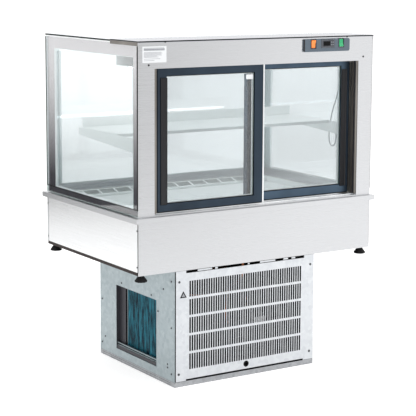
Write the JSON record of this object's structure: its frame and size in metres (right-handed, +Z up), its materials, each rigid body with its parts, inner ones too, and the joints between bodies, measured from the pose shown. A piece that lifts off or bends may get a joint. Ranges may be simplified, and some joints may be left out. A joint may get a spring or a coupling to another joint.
{
  "type": "bakery display case",
  "caption": "Drop-in refrigerated bakery display case: double-glazed showcase with sliding rear doors and a lit shelf on a steel collar, over a condensing unit in a vented box.",
  "frame": {"origin": "centre of the whole outline in plan, on the underside of the condensing box, which is what the case stands on", "axes": "+Z up; +X along the service side, to the right of a person facing the doors; -Y is the service side with the doors and the controls, +Y the customer side"},
  "size_m": [1.13, 0.79, 1.334],
  "materials": {
    "stainless": "brushed stainless sheet with a fine straight grain",
    "galvanised": "zinc-coated sheet with a soft spangle",
    "anodised_slate": "anodised slate-blue extrusion, satin",
    "anodised_bronze": "anodised light bronze extrusion, satin",
    "aluminium": "bright mill-finish aluminium",
    "glass": "clear tempered glass with a faint green-blue tint",
    "black_plastic": "matte black moulded plastic",
    "rubber": "black moulded rubber",
    "foam": "pale rigid polyurethane foam",
    "coated_fins": "blue-coated aluminium fins, glossy edges",
    "black_steel": "black enamelled steel",
    "copper": "drawn copper tube, lightly oxidised",
    "diffuser": "opal light diffuser",
    "slate_plastic": "slate moulded plastic",
    "display_plastic": "dark glossy moulded plastic",
    "orange_plastic": "translucent orange switch plastic",
    "green_plastic": "translucent green switch plastic",
    "white_plastic": "white acetal roller plastic"
  },
  "bodies": {
    "root": {"drop_in_flange": "stainless", "collar_panel_left": "stainless", "collar_panel_right": "stainless", "collar_panel_rear": "stainless", "collar_panel_front": "stainless", "collar_base_tray": "stainless", "well_liner": "stainless", "deck_plate_left": "stainless", "deck_plate_right": "stainless", "front_air_grille": "stainless", "rear_frame": "stainless", "header_cover": "stainless", "header_tray": "stainless", "shelf_plate": "stainless", "shelf_bracket_left": "stainless", "shelf_bracket_right": "stainless", "well_insulation": "foam", "evaporator_coil": "aluminium", "bottom_track": "aluminium", "top_track": "aluminium", "lighting_lead": "black_plastic", "left_outer_pane": "glass", "right_outer_pane": "glass", "front_outer_pane": "glass", "left_inner_pane": "glass", "right_inner_pane": "glass", "front_inner_pane": "glass", "top_glass": "glass", "header_led_bar": "diffuser", "shelf_led_bar": "diffuser", "control_fascia": "slate_plastic", "controller_display": "display_plastic", "jamb_left": "anodised_bronze", "jamb_right": "anodised_bronze", "box_base_tray": "galvanised", "box_left_panel": "galvanised", "box_wrap_panel": "galvanised", "box_grille_panel": "galvanised", "condenser_coil": "coated_fins", "fan_shroud": "black_steel", "compressor": "black_steel", "suction_pipe": "copper"},
    "left_door": {"left_door_frame": "anodised_slate", "left_door_glass": "glass", "left_door_grip": "black_plastic"},
    "right_door": {"right_door_frame": "anodised_slate", "right_door_glass": "glass", "right_door_grip": "black_plastic"},
    "condenser_fan": {"condenser_fan": "black_plastic"},
    "evaporator_fan": {"evaporator_fan": "black_plastic"},
    "light_switch": {"light_switch_rocker": "orange_plastic"},
    "power_switch": {"power_switch_rocker": "green_plastic"},
    "left_door_roller_a": {"left_door_roller_a": "white_plastic"},
    "left_door_roller_b": {"left_door_roller_b": "white_plastic"},
    "right_door_roller_a": {"right_door_roller_a": "white_plastic"},
    "right_door_roller_b": {"right_door_roller_b": "white_plastic"},
    "foot_rear_left": {"foot_rear_left": "rubber"},
    "foot_rear_right": {"foot_rear_right": "rubber"},
    "foot_front_left": {"foot_front_left": "rubber"},
    "foot_front_right": {"foot_front_right": "rubber"}
  },
  "joints": [
    {"name": "left_door_slide", "type": "slide", "parent": "root", "child": "left_door", "axis": [1, 0, 0], "range_m": [0, 0.44]},
    {"name": "right_door_slide", "type": "slide", "parent": "root", "child": "right_door", "axis": [-1, 0, 0], "range_m": [0, 0.42]},
    {"name": "left_door_roller_a_spin", "type": "hinge", "parent": "left_door", "child": "left_door_roller_a", "pos_m": [-0.393, -0.363, 0.6953], "axis": [0, 1, 0], "continuous": true},
    {"name": "left_door_roller_b_spin", "type": "hinge", "parent": "left_door", "child": "left_door_roller_b", "pos_m": [-0.057, -0.363, 0.6953], "axis": [0, 1, 0], "continuous": true},
    {"name": "right_door_roller_a_spin", "type": "hinge", "parent": "right_door", "child": "right_door_roller_a", "pos_m": [0.033, -0.329, 0.6953], "axis": [0, 1, 0], "continuous": true},
    {"name": "right_door_roller_b_spin", "type": "hinge", "parent": "right_door", "child": "right_door_roller_b", "pos_m": [0.393, -0.329, 0.6953], "axis": [0, 1, 0], "continuous": true},
    {"name": "condenser_fan_spin", "type": "hinge", "parent": "root", "child": "condenser_fan", "pos_m": [-0.262, -0.116, 0.225], "axis": [1, 0, 0], "continuous": true},
    {"name": "evaporator_fan_spin", "type": "hinge", "parent": "root", "child": "evaporator_fan", "pos_m": [-0.2, -0.176, 0.564], "axis": [0, 1, 0], "continuous": true},
    {"name": "light_switch_rock", "type": "hinge", "parent": "root", "child": "light_switch", "pos_m": [0.248, -0.374, 1.305], "axis": [1, 0, 0], "range_deg": [-16, 0]},
    {"name": "power_switch_rock", "type": "hinge", "parent": "root", "child": "power_switch", "pos_m": [0.386, -0.374, 1.305], "axis": [1, 0, 0], "range_deg": [0, 16]},
    {"name": "foot_rear_left_level", "type": "slide", "parent": "root", "child": "foot_rear_left", "axis": [0, 0, -1], "range_m": [0, 0.008]},
    {"name": "foot_rear_right_level", "type": "slide", "parent": "root", "child": "foot_rear_right", "axis": [0, 0, -1], "range_m": [0, 0.008]},
    {"name": "foot_front_left_level", "type": "slide", "parent": "root", "child": "foot_front_left", "axis": [0, 0, -1], "range_m": [0, 0.008]},
    {"name": "foot_front_right_level", "type": "slide", "parent": "root", "child": "foot_front_right", "axis": [0, 0, -1], "range_m": [0, 0.008]}
  ],
  "couplings": [
    {"joint": "left_door_roller_a_spin", "follows": "left_door_slide", "rad_per_m": 111.11},
    {"joint": "left_door_roller_b_spin", "follows": "left_door_slide", "rad_per_m": 111.11},
    {"joint": "right_door_roller_a_spin", "follows": "right_door_slide", "rad_per_m": -111.11},
    {"joint": "right_door_roller_b_spin", "follows": "right_door_slide", "rad_per_m": -111.11}
  ]
}
